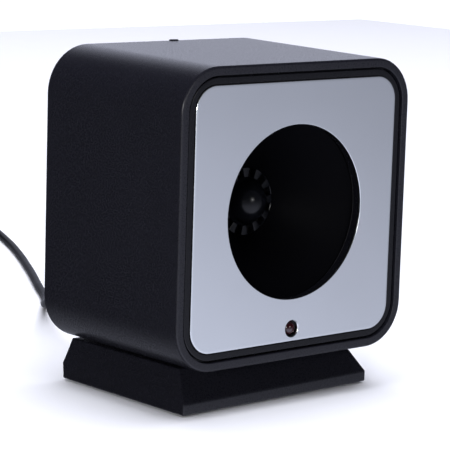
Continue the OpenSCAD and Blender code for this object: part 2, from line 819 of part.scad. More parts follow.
module cord_grip() {
    y0 = body_d + 2.4;
    pitch = (grip_l - 4.4) / 5;
    rings = [for (k = [0:4]) each
        let (y = y0 + k * pitch, r = 3.4 - 0.24 * k)
        [[r - 0.6, y], [r - 0.6, y + 0.4 * pitch], [r, y + 0.5 * pitch], [r, y + pitch - 0.05]]];
    color("#111113") in_housing() translate([exit_x, 0, exit_z]) turned()
        polygon(concat([[0, cover_y - 6], [3.1, cover_y - 6], [3.1, body_d], [4.4, body_d], [4.4, y0]],
                       rings, [[cord_r + 0.6, body_d + grip_l], [0, body_d + grip_l]]));
}

module cord() {
    color("#101012") {
        tube(smooth(route(ROUTE, exit_h)), cord_r);
        tube(smooth(route(TAIL, plug_h)), cord_r);
    }
}

module cord_coil() {
    color("#131316") behind() translate([coil_x, coil_y, coil_h / 2]) rotate_extrude()
        translate([coil_r, 0]) rounded(coil_w, coil_h, 3);
}

module cord_tie() {
    color("#2a2a2e") behind() translate([coil_x, coil_y + coil_r, coil_h / 2]) difference() {
        cube([4, coil_w + 2, coil_h], center = true);
        cube([5, coil_w + 0.4, coil_h - 1.2], center = true);
    }
}

module adapter_case() {
    color("#17171a") behind() translate([TAIL[len(TAIL) - 1][0], TAIL[len(TAIL) - 1][1], 0]) {
        translate([0, 0, plug_h]) rotate([-90, 0, 0]) cylinder(r = collar_r, h = collar_l + 1);
        translate([0, collar_l + adapter_l / 2, 0]) linear_extrude(adapter_t)
            rounded(adapter_w, adapter_l, 4);
    }
}

module adapter_pins() {
    color("#c0c0c4") behind() for (s = [-1, 1])
        translate([TAIL[len(TAIL) - 1][0] + s * pin_gap / 2,
                   TAIL[len(TAIL) - 1][1] + collar_l + adapter_l / 2, adapter_t]) {
            cylinder(r = pin_r, h = pin_l - pin_r);
            translate([0, 0, pin_l - pin_r]) sphere(r = pin_r);
        }
}

housing_shell();
front_panel();
faceplate();
faceplate_tape();
led_lens();
led_leads();
led_clip();
horn();
horn_gasket();
horn_screws();
phase_plug();
diaphragm();
piezo_disc();
driver_cap();
driver_tags();
main_board();
board_screws();
transformer_core();
transformer_coil();
capacitors();
chips();
resistors();
board_sockets();
horn_wires();
led_wires();
power_wires();
back_cover();
cover_screws();
switch_case();
switch_rocker();
switch_tags();
friction_ring();
swivel_washer();
swivel_screw();
stand();
stand_feet();
cord_grip();
cord();
cord_coil();
cord_tie();
adapter_case();
adapter_pins();
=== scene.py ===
from math import radians

import bmesh
import bpy
import numpy as np
from mathutils import Matrix, Vector


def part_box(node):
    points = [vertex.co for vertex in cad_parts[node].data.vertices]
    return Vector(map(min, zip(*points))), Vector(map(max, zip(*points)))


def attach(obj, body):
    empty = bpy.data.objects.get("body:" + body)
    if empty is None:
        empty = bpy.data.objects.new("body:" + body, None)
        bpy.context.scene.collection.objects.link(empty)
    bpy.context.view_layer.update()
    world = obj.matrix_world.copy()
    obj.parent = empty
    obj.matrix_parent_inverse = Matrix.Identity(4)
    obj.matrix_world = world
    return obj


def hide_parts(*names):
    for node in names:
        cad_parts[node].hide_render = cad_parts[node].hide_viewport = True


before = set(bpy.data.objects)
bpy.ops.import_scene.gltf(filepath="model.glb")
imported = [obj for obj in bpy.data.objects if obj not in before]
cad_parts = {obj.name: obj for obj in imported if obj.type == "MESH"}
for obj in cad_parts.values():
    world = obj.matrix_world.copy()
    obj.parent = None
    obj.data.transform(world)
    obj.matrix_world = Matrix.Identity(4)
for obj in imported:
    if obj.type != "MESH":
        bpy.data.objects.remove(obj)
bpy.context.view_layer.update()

# ------------------------------------------------------------------ camera
# A long lens at table height, to the left of the object and a little above it, held with a
# slight roll. Lengths are in millimetres from the foot of the housing's front face.
shell_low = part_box("housing_shell")[0]
panel_low, panel_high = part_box("front_panel")
FRONT_Y = shell_low[1] * 1000
MIDDLE_Z = (panel_low[2] + panel_high[2]) * 500
BODY_W, BODY_D, DRAFT = 96.0, 69.0, 1.0
BOTTOM_Z = MIDDLE_Z - BODY_W / 2
TURN_LEFT, LOOK_DOWN, ROLL = -40.16, -9.67, -1.76  # degrees

camera = bpy.data.objects.new("camera", bpy.data.cameras.new("camera"))
bpy.context.collection.objects.link(camera)
camera.data.sensor_width = 36
camera.data.lens = 174.3
camera.data.clip_start = 0.01
camera.location = Vector((-459.45, FRONT_Y - 509.25, BOTTOM_Z + 160.0)) / 1000
turn = (Matrix.Rotation(radians(TURN_LEFT), 3, "Z") @ Matrix.Rotation(radians(LOOK_DOWN), 3, "X")
        @ Matrix.Rotation(radians(ROLL), 3, "Y") @ Matrix.Rotation(radians(90), 3, "X"))
camera.rotation_euler = turn.to_euler()
bpy.context.scene.camera = camera

# ------------------------------------------------------------------ lead
# A thin round two-core lead, black soft PVC drawn over the wires with a satin skin. It leaves
# the back through the strain relief, drops to the table and runs off to its tied coil.
LEAD_D = 3.2
grip_low, grip_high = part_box("cord_grip")
EXIT = np.array([(grip_low[0] + grip_high[0]) * 500, grip_high[1] * 1000,
                 (grip_low[2] + grip_high[2]) * 500])
# Across, back and share of the exit's height; the tail's last share is of the adapter's collar
ROUTE = [(0, 0, 1), (0, 4, .99), (1, 10, .95), (2.5, 18, .83), (6, 28, .65), (11, 37, .48),
         (17, 47, .34), (24, 58, .2), (32, 70, .09), (40.5, 81.5, .02), (47.5, 92.5, 0),
         (55, 106.5, 0), (62.5, 120, 0), (70, 133.5, 0), (77.3, 147.3, 0), (84.3, 160.6, 0),
         (91, 174, 0), (97.5, 187.5, 0), (103.3, 200.7, 0), (108.8, 213.6, 0), (114, 227, .004),
         (118.3, 240, .015), (120.2, 252, .026)]
TAIL = [(84.2, 252, .84), (84.4, 244, .84), (83.4, 236, .83), (81, 228, .74), (76, 219, .45),
        (69, 212, .17), (60, 208, .02), (51, 208, .01), (43, 212, .16), (37.5, 219, .55),
        (35, 227, .9), (35, 234, 1)]
COIL_X, COIL_Y, COIL_R = 99.0, 252.0, 18.0
TURNS, TURN_STEPS, FIRST_ROW, ROW_RISE, SLIDE_FROM, SLIDE_OVER = 9.5, 40, 2.3, 3.1, 0.72, 0.26
PLUG_H = 13.5


def smooth_line(points, steps):
    """Catmull-Rom line: between two points each coordinate is the cubic that passes through
    both with slopes set by their outer neighbours."""
    p = np.vstack([2 * points[0] - points[1], points, 2 * points[-1] - points[-2]])
    t = np.linspace(0, 1, steps, endpoint=False)[None, :, None]
    a, b, c, d = (p[i:len(p) - 3 + i, None, :] for i in range(4))
    line = 0.5 * (2 * b + (c - a) * t + (2 * a - 5 * b + 4 * c - d) * t ** 2
                  + (3 * b - a - 3 * c + d) * t ** 3)
    return np.vstack([line.reshape(-1, 3), points[-1:]])


def heights(rows, top):
    """Rows of across, back and share of height, put behind the strain relief's end."""
    rows = np.array(rows, float)
    z = LEAD_D / 2 + rows[:, 2] * (top - LEAD_D / 2)
    return np.column_stack([EXIT[0] + rows[:, 0], EXIT[1] + rows[:, 1], z])


# Turns lie in three columns and four rows, wound to and fro: the line stays in one place of
# the bundle for most of a turn and slides to the next in the last quarter of it. It wavers a
# little, because it is wound by hand.
COLUMN = np.array([1, 0, -1, -1, 0, 1, 1, 0, -1, -1, -1]) * LEAD_D
ROW = FIRST_ROW + ROW_RISE * np.array([0, 0, 0, 1, 1, 1, 2, 2, 2, 3, 3])
angle = np.arange(1, TURNS * TURN_STEPS) * (2 * np.pi / TURN_STEPS)
slide = np.clip((angle / (2 * np.pi) % 1 - SLIDE_FROM) / SLIDE_OVER, 0, 1)
slide = slide * slide * (3 - 2 * slide)
place = np.minimum((angle / (2 * np.pi)).astype(int), 9)
across = COLUMN[place] * (1 - slide) + COLUMN[place + 1] * slide
radius = COIL_R + across + 0.15 * np.sin(2.3 * angle) + 0.1 * np.sin(5.1 * angle + 1)
coil = np.column_stack([EXIT[0] + COIL_X + radius * np.cos(angle),
                        EXIT[1] + COIL_Y + radius * np.sin(angle),
                        ROW[place] * (1 - slide) + ROW[place + 1] * slide])
lead_line = np.vstack([smooth_line(heights(ROUTE, EXIT[2]), 4), coil,
                       smooth_line(heights(TAIL, PLUG_H), 4)]) / 1000


def linear(code):
    """sRGB hex colour as linear light: below 0.04045 divided by 12.92, above it a 2.4 power."""
    s = np.array([int(code[i:i + 2], 16) / 255 for i in (1, 3, 5)])
    c = np.where(s <= 0.04045, s / 12.92, ((s + 0.055) / 1.055) ** 2.4)
    return (*c.tolist(), 1.0)


def new_finish(name):
    """Empty node tree of a new material."""
    material = bpy.data.materials.new(name)
    material.use_nodes = True
    material.node_tree.nodes.clear()
    return material, material.node_tree


def add(tree, kind, sockets=(), **settings):
    """Adds one node: settings go on the node, sockets hold a value or another node's output."""
    node = tree.nodes.new("ShaderNode" + kind)
    for key, value in settings.items():
        setattr(node, key, value)
    for key, value in dict(sockets).items():
        if isinstance(value, bpy.types.NodeSocket):
            tree.links.new(value, node.inputs[key])
        else:
            node.inputs[key].default_value = value
    return node


def loft(rings, wrap=False, caps=False, skip=None):
    """Quads between neighbouring closed rings of points; wrap joins the last ring to the first,
    caps closes both ends, and skip marks quads to leave out."""
    rings = np.asarray(rings, float)
    count, n = rings.shape[:2]
    i, j = np.meshgrid(np.arange(count if wrap else count - 1), np.arange(n), indexing="ij")
    i2, j2 = (i + 1) % count, (j + 1) % n
    quads = np.stack([i * n + j, i * n + j2, i2 * n + j2, i2 * n + j], -1)
    quads = quads[~skip] if skip is not None else quads.reshape(-1, 4)
    faces = [tuple(q) for q in quads.tolist()]
    if caps:
        faces += [tuple(range(n - 1, -1, -1)), tuple(range((count - 1) * n, count * n))]
    return rings.reshape(-1, 3), faces


def new_piece(name, parts, material, body, sharp=28):
    """One mesh object in metres from closed parts, turned outwards by the sign of their volume."""
    verts, faces, start = [], [], 0
    for points, part_faces in parts:
        origin = points[part_faces[0][0]]
        volume = 0.0
        for k in range(1, max(len(f) for f in part_faces) - 1):
            few = [f for f in part_faces if len(f) > k + 1]
            a, b, c = (points[[f[m] for f in few]] for m in (0, k, k + 1))
            volume += np.einsum("ij,ij->", a - origin, np.cross(b - origin, c - origin))
        part_faces = part_faces if volume > 0 else [f[::-1] for f in part_faces]
        faces += [tuple(v + start for v in f) for f in part_faces]
        verts.append(points)
        start += len(points)
    mesh = bpy.data.meshes.new(name)
    mesh.from_pydata((np.vstack(verts) / 1000).tolist(), [], faces)
    mesh.polygons.foreach_set("use_smooth", np.ones(len(mesh.polygons), bool))
    mesh.set_sharp_from_angle(angle=radians(sharp))
    mesh.materials.append(material)
    obj = bpy.data.objects.new(name, mesh)
    bpy.context.collection.objects.link(obj)
    even = obj.modifiers.new("even_shading", "WEIGHTED_NORMAL")
    even.weight, even.keep_sharp = 95, True
    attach(obj, body)
    return obj


def tube(line, radius, sides=16):
    """Rings of a round tube: the side direction is carried along the line, made square to each
    new heading, so that the tube doesn't twist."""
    head = np.gradient(line, axis=0)
    head /= np.linalg.norm(head, axis=1)[:, None]
    side = np.empty_like(line)
    u = np.array([0.1, 0.05, 1.0])
    for k, t in enumerate(head):
        u = u - t * (u @ t)
        u /= np.linalg.norm(u)
        side[k] = u
    other = np.cross(head, side)
    a = np.linspace(0, 2 * np.pi, sides, endpoint=False)[None, :, None]
    return line[:, None] + radius * (np.cos(a) * side[:, None] + np.sin(a) * other[:, None])


# Soft PVC, extruded: satin black with a faint long ripple from the die
lead_pvc, tree = new_finish("soft_pvc_extruded")
where = add(tree, "TexCoord").outputs["Object"]
ripple = add(tree, "TexNoise", {"Vector": where, "Scale": 260.0, "Detail": 3.0})
rough = add(tree, "MapRange", {"Value": ripple.outputs["Fac"], "To Min": 0.32, "To Max": 0.46})
bump = add(tree, "Bump", {"Height": ripple.outputs["Fac"], "Strength": 0.12, "Distance": 0.0002})
skin = add(tree, "BsdfPrincipled", {"Base Color": linear("#0f0f13"), "IOR": 1.53,
                                    "Specular IOR Level": 0.03,
                                    "Roughness": rough.outputs["Result"],
                                    "Normal": bump.outputs["Normal"]})
add(tree, "OutputMaterial", {"Surface": skin.outputs["BSDF"]})

lead = new_piece("lead", [loft(tube(lead_line * 1000, LEAD_D / 2), caps=True)], lead_pvc, "housing",
                 60)
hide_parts("cord", "cord_coil")

# ------------------------------------------------------------------ housing
# The square tube that holds everything, injection moulded in one shot of black ABS with a slight
# draft towards the back. Its front rim is rounded over, and a shelf inside it carries the panel.
# Under the floor it has a round turntable pad, a spigot and a small stop lug.


def rounded_loop(w, h, r, corner=12, side=24):
    """Loop of x and z: four straight sides joined by quarter circles of radius r. It starts at
    the left end of the bottom side and runs to the right."""
    along, out = np.array([[w, h, w, h], [h, w, h, w]]) / 2
    along, out = (along - r)[:, None], out[:, None]
    t = np.linspace(-1, 1, side, endpoint=False)[None]
    a = np.linspace(-np.pi / 2, 0, corner, endpoint=False)[None]
    u = np.hstack([along * t, along + r * np.cos(a)])
    v = np.hstack([-out + 0 * t, r - out + r * np.sin(a)])
    turned_round = ((u + 1j * v) * 1j ** np.arange(4)[:, None]).ravel()
    return np.column_stack([turned_round.real, turned_round.imag])


def in_housing(loop, y):
    """Loop of x and z from the middle of the front face, at the depth y behind it."""
    return np.column_stack([loop[:, 0], np.full(len(loop), FRONT_Y + y), MIDDLE_Z + loop[:, 1]])


def turned(rows, x=0.0, z=0.0, steps=96, **closing):
    """Surface of revolution about a front-to-back line: rows of radius and depth, each carried
    round a circle."""
    a = np.linspace(0, 2 * np.pi, steps, endpoint=False)
    circle = np.column_stack([np.cos(a), np.sin(a)])
    return loft([in_housing(r * circle + (x, z), y) for r, y in rows], **closing)


def upright(rows, x, y, steps=96, **closing):
    """Surface of revolution about an upright line: rows of radius and height."""
    a = np.linspace(0, 2 * np.pi, steps, endpoint=False)
    circle = np.column_stack([x * np.ones(steps), y * np.ones(steps), np.zeros(steps)])
    reach = np.column_stack([np.cos(a), np.sin(a), np.zeros(steps)])
    return loft([circle + r * reach + (0, 0, z) for r, z in rows], **closing)


def quarter(inset, depth, radius, start, stop, steps=6):
    """Points of a round edge about a centre at inset, depth, between two angles in degrees."""
    a = np.radians(np.linspace(start, stop, steps + 1))
    return [(inset + radius * np.cos(k), depth + radius * np.sin(k)) for k in a]


def finish(name, colour, roughness, grain, relief, variation=0.08, metal=0.0, stretch=(1, 1, 1),
           **sockets):
    """Solid material: colour, roughness and relief vary with noise whose grain is in millimetres."""
    material, tree = new_finish(name)
    where = add(tree, "Mapping", {"Vector": add(tree, "TexCoord").outputs["Object"], "Scale": stretch})
    fine = add(tree, "TexNoise", {"Vector": where.outputs["Vector"], "Scale": 1000 / grain,
                                  "Detail": 2.0})
    broad = add(tree, "TexNoise", {"Vector": where.outputs["Vector"], "Scale": 45.0, "Detail": 3.0})
    tone = np.array(linear(colour))
    shade = add(tree, "Mix", {"Factor": broad.outputs["Fac"],
                              6: tuple(np.append(tone[:3] * (1 - variation), 1)),
                              7: tuple(np.append(tone[:3] * (1 + variation), 1))}, data_type="RGBA")
    gloss = add(tree, "MapRange", {"Value": fine.outputs["Fac"], "From Min": 0.3, "From Max": 0.7,
                                   "To Min": roughness[0], "To Max": roughness[1]})
    bump = add(tree, "Bump", {"Height": fine.outputs["Fac"], "Strength": 0.6,
                              "Distance": relief / 1000})
    named = {key.replace("_", " "): value for key, value in sockets.items()}
    skin = add(tree, "BsdfPrincipled", {"Base Color": shade.outputs[2], "Metallic": metal,
                                        "Roughness": gloss.outputs["Result"],
                                        "Normal": bump.outputs["Normal"], **named})
    add(tree, "OutputMaterial", {"Surface": skin.outputs["BSDF"]})
    return material


# ABS, moulded against fine spark-eroded steel: a satin black skin with a half-millimetre grain
housing_abs = finish("abs_moulded_satin", "#17171d", (0.24, 0.34), 0.5, 0.006, IOR=1.5,
                     Specular_IOR_Level=0.24)

EDGE_R, RIM_W, RIM_R, SEAT_Y, SHELF_W, SHELF_T = 0.8, 2.9, 0.3, 4.2, 2.4, 2.0
WALL, COVER_Y, THIN_WALL, BACK_R, CORNER_R = 2.4, 66.4, 1.4, 0.5, 14.5
profile = (quarter(EDGE_R, EDGE_R, EDGE_R, 180, 270) + quarter(RIM_W - RIM_R, RIM_R, RIM_R, 270, 360, 3)
           + [(RIM_W, SEAT_Y), (RIM_W + SHELF_W, SEAT_Y), (RIM_W + SHELF_W, SEAT_Y + SHELF_T),
              (WALL, SEAT_Y + SHELF_T), (WALL, COVER_Y), (THIN_WALL, COVER_Y),
              (THIN_WALL, BODY_D - 0.15), (1.5, BODY_D)]
           + quarter(BACK_R, BODY_D - BACK_R, BACK_R, 90, 180, 4))


def housing_ring(inset, y):
    """Drafted rounded square at the depth y, moved inwards by inset."""
    draft = DRAFT * max(y - EDGE_R, 0) / (BODY_D - EDGE_R)
    size = BODY_W + 2 * (draft - inset)
    return in_housing(rounded_loop(size, size, CORNER_R + draft - inset), y)


PIVOT_Y, LUG_OUT, POST_OUT, POST_Y, POST_R, SCREW_R = 38.1, 17.5, 40.5, 53, 4, 1.1
foot_low = MIDDLE_Z - BODY_W / 2 - DRAFT - 0.3
# Radius and height round the screw's bore, the spigot, the friction ring's groove and the pad
pad_rows = [(1.6, -3.1), (5.7, -3.1), (6, -2.8), (6, 0.7), (14.05, 0.7), (14.05, 0.1), (21.7, 0.1),
            (22, 0.4), (22, 3.4), (1.6, 3.4)]
lug_rows = [(1.4, -2.4), (1.6, -2.2), (1.6, 0.6)]
pad = upright([(r, foot_low + z) for r, z in pad_rows], 0, FRONT_Y + PIVOT_Y, wrap=True)
lug = upright([(r, foot_low + z) for r, z in lug_rows], 0, FRONT_Y + PIVOT_Y - LUG_OUT, 32, caps=True)
post_rows = [(SCREW_R, POST_Y), (POST_R, POST_Y), (POST_R, COVER_Y), (SCREW_R, COVER_Y)]
posts = [turned(post_rows, sx * POST_OUT, sz * POST_OUT, 40, wrap=True)
         for sx in (-1, 1) for sz in (-1, 1)]
tube_walls = loft([housing_ring(*row) for row in profile], wrap=True)
housing = new_piece("housing", [tube_walls, pad, lug, *posts], housing_abs, "housing")
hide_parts("housing_shell")

# ------------------------------------------------------------------ front panel
# A separate black moulding pressed into the rim, with a narrow shadow gap round it. Its raised
# border frames the plate, and its bore lets the horn's mouth through.


def round_loop(radius, loop):
    """Circle with its points at the same angles as the loop's."""
    return radius * loop / np.linalg.norm(loop, axis=1)[:, None]


def square_rows(rows):
    """Rings of rounded squares: rows of width, corner radius and depth."""
    return [in_housing(rounded_loop(w, w, r), y) for w, r, y in rows]


# ABS, moulded against polished steel: a tighter gloss, and a darker black than the housing's, which is
# painted shade for the front faces
panel_abs = finish("abs_moulded_polished", "#0e0e12", (0.2, 0.28), 0.8, 0.006, IOR=1.5,
                   Specular_IOR_Level=0.16)
PANEL_W, PANEL_R, PANEL_Y, STEP_Y, STEP_OUT = 89.3, 11.25, 0.6, 1.8, 0.3
RECESS_W, RECESS_R, RECESS_Y, BORE_R = 84.7, 8.25, 1.6, 28.6
EAR_OUT, EAR_R, HORN_Y = 37, 4, 5.0
edge = [(PANEL_W - 2 * i, PANEL_R - i, y) for i, y in quarter(0.45, PANEL_Y + 0.45, 0.45, 180, 270, 4)]
lip = [(RECESS_W + 2 * i, RECESS_R + i, y) for i, y in quarter(0.2, PANEL_Y + 0.2, 0.2, 270, 180, 3)]
square = rounded_loop(RECESS_W, RECESS_W, RECESS_R)
foot = (PANEL_W + 2 * STEP_OUT, PANEL_R + STEP_OUT)
rings = square_rows([(*foot, SEAT_Y), (*foot, STEP_Y), (PANEL_W, PANEL_R, STEP_Y), *edge, *lip,
                     (RECESS_W, RECESS_R, RECESS_Y)])
rings += [in_housing(round_loop(BORE_R, square), y) for y in (RECESS_Y, SEAT_Y)]
bosses = []
for k in range(4):
    ear = EAR_OUT * np.exp(1j * np.pi * (0.25 + 0.5 * k))
    boss = [(SCREW_R, SEAT_Y - 0.2), (EAR_R, SEAT_Y - 0.2), (EAR_R, HORN_Y), (SCREW_R, HORN_Y)]
    bosses.append(turned(boss, ear.real, ear.imag, 32, wrap=True))
front = new_piece("front_panel_moulding", [loft(rings, wrap=True), *bosses], panel_abs, "housing")
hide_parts("front_panel")

# ------------------------------------------------------------------ plate
# One millimetre of aluminium sheet, blanked and pierced for the horn and the lamp, its edges just
# broken, then bead blasted very finely and anodised a cool silver. It is stuck down with tape.

# Anodised aluminium: soft, even and slightly blue, with the faint cloud of a fine blast
plate_metal = finish("aluminium_anodised_silver", "#c6c9ca", (0.20, 0.27), 0.35, 0.003, 0.03, 1.0)
PLATE_W, PLATE_R, PLATE_Y, PLATE_T, BROKEN = 84.2, 8.0, 0.35, 1.0, 0.25
MOUTH_R, LAMP_Z, LAMP_HOLE = 28.2, -38.0, 2.65
BACK = PLATE_Y + PLATE_T
# Two extra rows lie in the flat faces, this far in from the edge. The lamp's hole is cut through
# one row of quads on each face, between two places along the bottom side.
BORDER, BAND, FRONT_ROW, BACK_ROW, HOLE_FROM, HOLE_TO = 0.9, 7.6, 5, 12, 10, 14
square = rounded_loop(PLATE_W, PLATE_W, PLATE_R)
outer = quarter(BROKEN, PLATE_Y + BROKEN, BROKEN, 180, 270, 3)
mouth = quarter(BROKEN, PLATE_Y + BROKEN, BROKEN, 270, 180, 3)
rings = square_rows([(PLATE_W - 2 * i, PLATE_R - i, y) for i, y in
                     [(0, BACK), *outer, (BORDER, PLATE_Y), (BAND, PLATE_Y)]])
rings += [in_housing(round_loop(MOUTH_R + i, square), y) for i, y in [*mouth, (0, BACK)]]
rings += square_rows([(PLATE_W - 2 * i, PLATE_R - i, BACK) for i in (BAND, BORDER)])
loop = len(square)
middle = np.arange(HOLE_FROM, HOLE_TO)
skip = np.zeros((len(rings), loop), bool)
skip[FRONT_ROW, middle] = skip[BACK_ROW, middle] = True
points, faces = loft(rings, wrap=True, skip=skip)


def pierced(front_row, back_row, centre, radius, between=5):
    """Rim faces of a round hole through two flat faces: the border of the skipped quads on each
    face is joined to the hole in sectors, and the hole's two circles by a broken edge and a wall."""
    along = np.arange(HOLE_FROM, HOLE_TO + 1)
    near = np.r_[front_row * loop + along, (front_row + 1) * loop + along[::-1]]
    far = np.r_[(back_row + 1) * loop + along, back_row * loop + along[::-1]]
    off = points[near][:, [0, 2]] - centre
    angle = np.unwrap(np.arctan2(off[:, 1], off[:, 0]))
    angle = np.append(angle, angle[0] + 2 * np.pi * np.sign(angle[-1] - angle[0]))
    share = np.linspace(0, 1, between, endpoint=False)
    angle = (angle[:-1, None] + np.diff(angle)[:, None] * share).ravel()
    circle = np.column_stack([np.cos(angle), np.sin(angle)])
    n = len(circle)
    rounds = [np.insert(centre + r * circle, 1, FRONT_Y + y, axis=1)
              for r, y in ((radius + BROKEN, PLATE_Y), (radius, PLATE_Y + BROKEN), (radius, BACK))]
    first = len(points)
    more = []
    for border, start, flip in ((near, first, 1), (far, first + 2 * n, -1)):
        for k in range(len(border)):
            arc = [start + (k * between + m) % n for m in range(between, -1, -1)]
            more.append(tuple([int(border[k]), int(border[(k + 1) % len(border)]), *arc][::flip]))
    for row in range(2):
        a = first + row * n
        more += [(a + m, a + (m + 1) % n, a + n + (m + 1) % n, a + n + m) for m in range(n)]
    return np.vstack([points, *rounds]), more


holed, rim_faces = pierced(FRONT_ROW, BACK_ROW, np.array([0, MIDDLE_Z + LAMP_Z]), LAMP_HOLE)
plate = new_piece("face_plate", [(holed, faces + rim_faces)], plate_metal, "housing")
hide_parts("faceplate")

# Double-sided foam tape between the plate and the panel: off-white and dull
tape = finish("polyethylene_foam_tape", "#dcd8cc", (0.75, 0.9), 0.4, 0.05)


def dress(node, material):
    """Puts a material on a CAD node that stays as it is."""
    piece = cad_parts[node]
    if not piece.material_slots:
        piece.data.materials.append(material)
    for held in piece.material_slots:
        held.material = material


dress("faceplate_tape", tape)

# ------------------------------------------------------------------ lamp
# A five millimetre indicator diode cast in red epoxy, with a domed end and a small flange, held
# by a black nylon clip. It is unlit, so the dome is nearly black with a red depth to it.

# Cast epoxy: glass-smooth, tinted deep red
epoxy = finish("epoxy_cast_red", "#24070b", (0.05, 0.09), 1.2, 0.001, 0.1, IOR=1.55,
               Specular_IOR_Level=0.4)
LAMP_R, LAMP_FLANGE, LAMP_PROUD, TIP_R = 2.5, 0.4, 0.2, 0.02
dome = [(max(LAMP_R * np.sin(a), TIP_R), PLATE_Y - LAMP_PROUD + LAMP_R - LAMP_R * np.cos(a))
        for a in np.linspace(0, np.pi / 2, 17)]
dome += [(LAMP_R, SEAT_Y), (LAMP_R + LAMP_FLANGE, SEAT_Y), (LAMP_R + LAMP_FLANGE, SEAT_Y + 1)]
lamp = new_piece("lamp", [turned(dome, 0, LAMP_Z, 64, caps=True)], epoxy, "housing")
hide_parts("led_lens")
# Tinned copper legs, dull silver
tinned = finish("copper_tinned", "#c9cbd0", (0.28, 0.4), 0.3, 0.004, 0.06, 1.0)
dress("led_leads", tinned)
# Nylon, moulded: black with a soft waxy sheen
nylon_black = finish("nylon_moulded_black", "#17171a", (0.42, 0.52), 0.6, 0.01)
dress("led_clip", nylon_black)

# ------------------------------------------------------------------ horn
# An exponential horn moulded in matt black ABS: the mouth narrows by the same share for each
# millimetre of depth down to the throat. Four ears on its flange take screws into the panel.

# ABS, moulded against a blasted core: matt black, made much darker than black plastic is as painted
# shade for the deep throat
horn_abs = finish("abs_moulded_matt", "#040406", (0.55, 0.65), 0.3, 0.01, IOR=1.5,
                  Specular_IOR_Level=0.02)
FLARE_L, THROAT_R, HORN_T = 20.0, 11.0, 2.0
FLANGE_R, FLANGE_T, DRIVER_R, DRIVER_T = 33.0, 2.5, 19.0, 3


def flare(y):
    """Radius at a depth: mouth radius times the throat-to-mouth ratio to the share of depth."""
    return BORE_R * (THROAT_R / BORE_R) ** ((y - HORN_Y) / FLARE_L)


throat = HORN_Y + FLARE_L
inner = [(flare(y), y) for y in np.linspace(HORN_Y + 0.3, throat - 0.3, 40)]
outer = [(flare(y) + HORN_T, y) for y in np.linspace(throat - DRIVER_T, HORN_Y + FLANGE_T, 20)]
rows = [(BORE_R + 0.15, HORN_Y), *inner, (THROAT_R + 0.1, throat), (DRIVER_R, throat),
        (DRIVER_R, throat - DRIVER_T), *outer, (FLANGE_R, HORN_Y + FLANGE_T), (FLANGE_R, HORN_Y)]
ear_arc = np.linspace(-np.pi / 2, np.pi / 2, 17)
ear_root = FLANGE_R - 4
ear_loop = np.append(EAR_OUT + EAR_R * np.exp(1j * ear_arc),
                     [ear_root + EAR_R * 1j, ear_root - EAR_R * 1j])
ears = []
for k in range(4):
    turned_ear = ear_loop * np.exp(1j * np.pi * (0.25 + 0.5 * k))
    flat = np.column_stack([turned_ear.real, turned_ear.imag])
    ears.append(loft([in_housing(flat, HORN_Y), in_housing(flat, HORN_Y + FLANGE_T)], caps=True))
horn = new_piece("horn_moulding", [turned(rows, steps=128, wrap=True), *ears], horn_abs, "housing")
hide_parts("horn")
# Closed-cell foam ring between the panel and the flange, dark grey and matt
dress("horn_gasket", finish("neoprene_foam_skived", "#222225", (0.8, 0.92), 0.5, 0.08))
# Zinc-plated steel screws: bright with a cold, slightly clouded film
zinc = finish("steel_zinc_plated", "#b9bcc2", (0.25, 0.38), 0.8, 0.004, 0.08, 1.0)
dress("horn_screws", zinc)

# ------------------------------------------------------------------ phase plug
# The moulding in the throat: a smooth dome on twelve short spokes inside a ring, so that the
# sound leaves through the slots between them.
PLUG_R, PLUG_T, DOME_R, HUB_R, SLOTS, SLOT_W, BITE = 17.15, 2.4, 7.5, 8.2, 12, 2.4, 0.5
centre_y = throat + 1
a = np.linspace(0.0, np.radians(76), 26)
rows = [(max(DOME_R * np.sin(k), 0.03), centre_y - DOME_R * np.cos(k)) for k in a]
rows += [(DOME_R + 0.25, throat - 0.45), (HUB_R - 0.3, throat - 0.25), (HUB_R, throat + 0.1),
         (HUB_R, throat + PLUG_T)]
ring_rows = [(THROAT_R, throat + 0.35), (THROAT_R + 0.35, throat), (PLUG_R, throat),
             (PLUG_R, throat + PLUG_T), (THROAT_R, throat + PLUG_T)]
parts = [turned(rows, steps=96, caps=True), turned(ring_rows, steps=96, wrap=True)]
# A spoke bites into the hub and the ring, and its front edges are rounded off in four steps
spoke_in, spoke_out = HUB_R - BITE, THROAT_R + BITE
wide_in, wide_out = (np.pi * r / SLOTS - SLOT_W / 2 for r in (spoke_in, spoke_out))
corners = np.array([spoke_in - 1j * wide_in, spoke_out - 1j * wide_out,
                    spoke_out + 1j * wide_out, spoke_in + 1j * wide_in])
spoke_steps = ((0, PLUG_T), (0, 0.45), (0.15, 0.12), (0.5, 0))
for k in range(SLOTS):
    spoke = []
    for pull, depth in spoke_steps:
        section = (corners.real + 1j * corners.imag * (1 - pull / 1.4)) * np.exp(2j * np.pi * k / SLOTS)
        spoke.append(in_housing(np.column_stack([section.real, section.imag]), throat + depth))
    parts.append(loft(spoke, caps=True))
# ABS, moulded against mirror-polished steel: black with clear small highlights
gloss_abs = finish("abs_moulded_gloss", "#0a0b0f", (0.2, 0.26), 1.5, 0.003, IOR=1.5,
                   Specular_IOR_Level=0.14)
plug = new_piece("throat_plug", parts, gloss_abs, "housing", sharp=40)
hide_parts("phase_plug")

# ------------------------------------------------------------------ driver
# A piezo disc on a pressed paper cone, under a moulded cap that clips to the throat. Two brass
# tags bring the wires in.

# Pressed paper, dyed dark: fibrous and matt
dress("diaphragm", finish("paper_pressed_dyed", "#2a2622", (0.8, 0.95), 0.25, 0.04, 0.2))
# Brass, rolled: warm yellow with fine straight roll marks
brass = finish("brass_rolled", "#c7a45c", (0.25, 0.36), 0.3, 0.004, 0.06, 1.0, stretch=(1, 1, 0.08))
dress("piezo_disc", brass)
dress("driver_cap", nylon_black)
dress("driver_tags", brass)

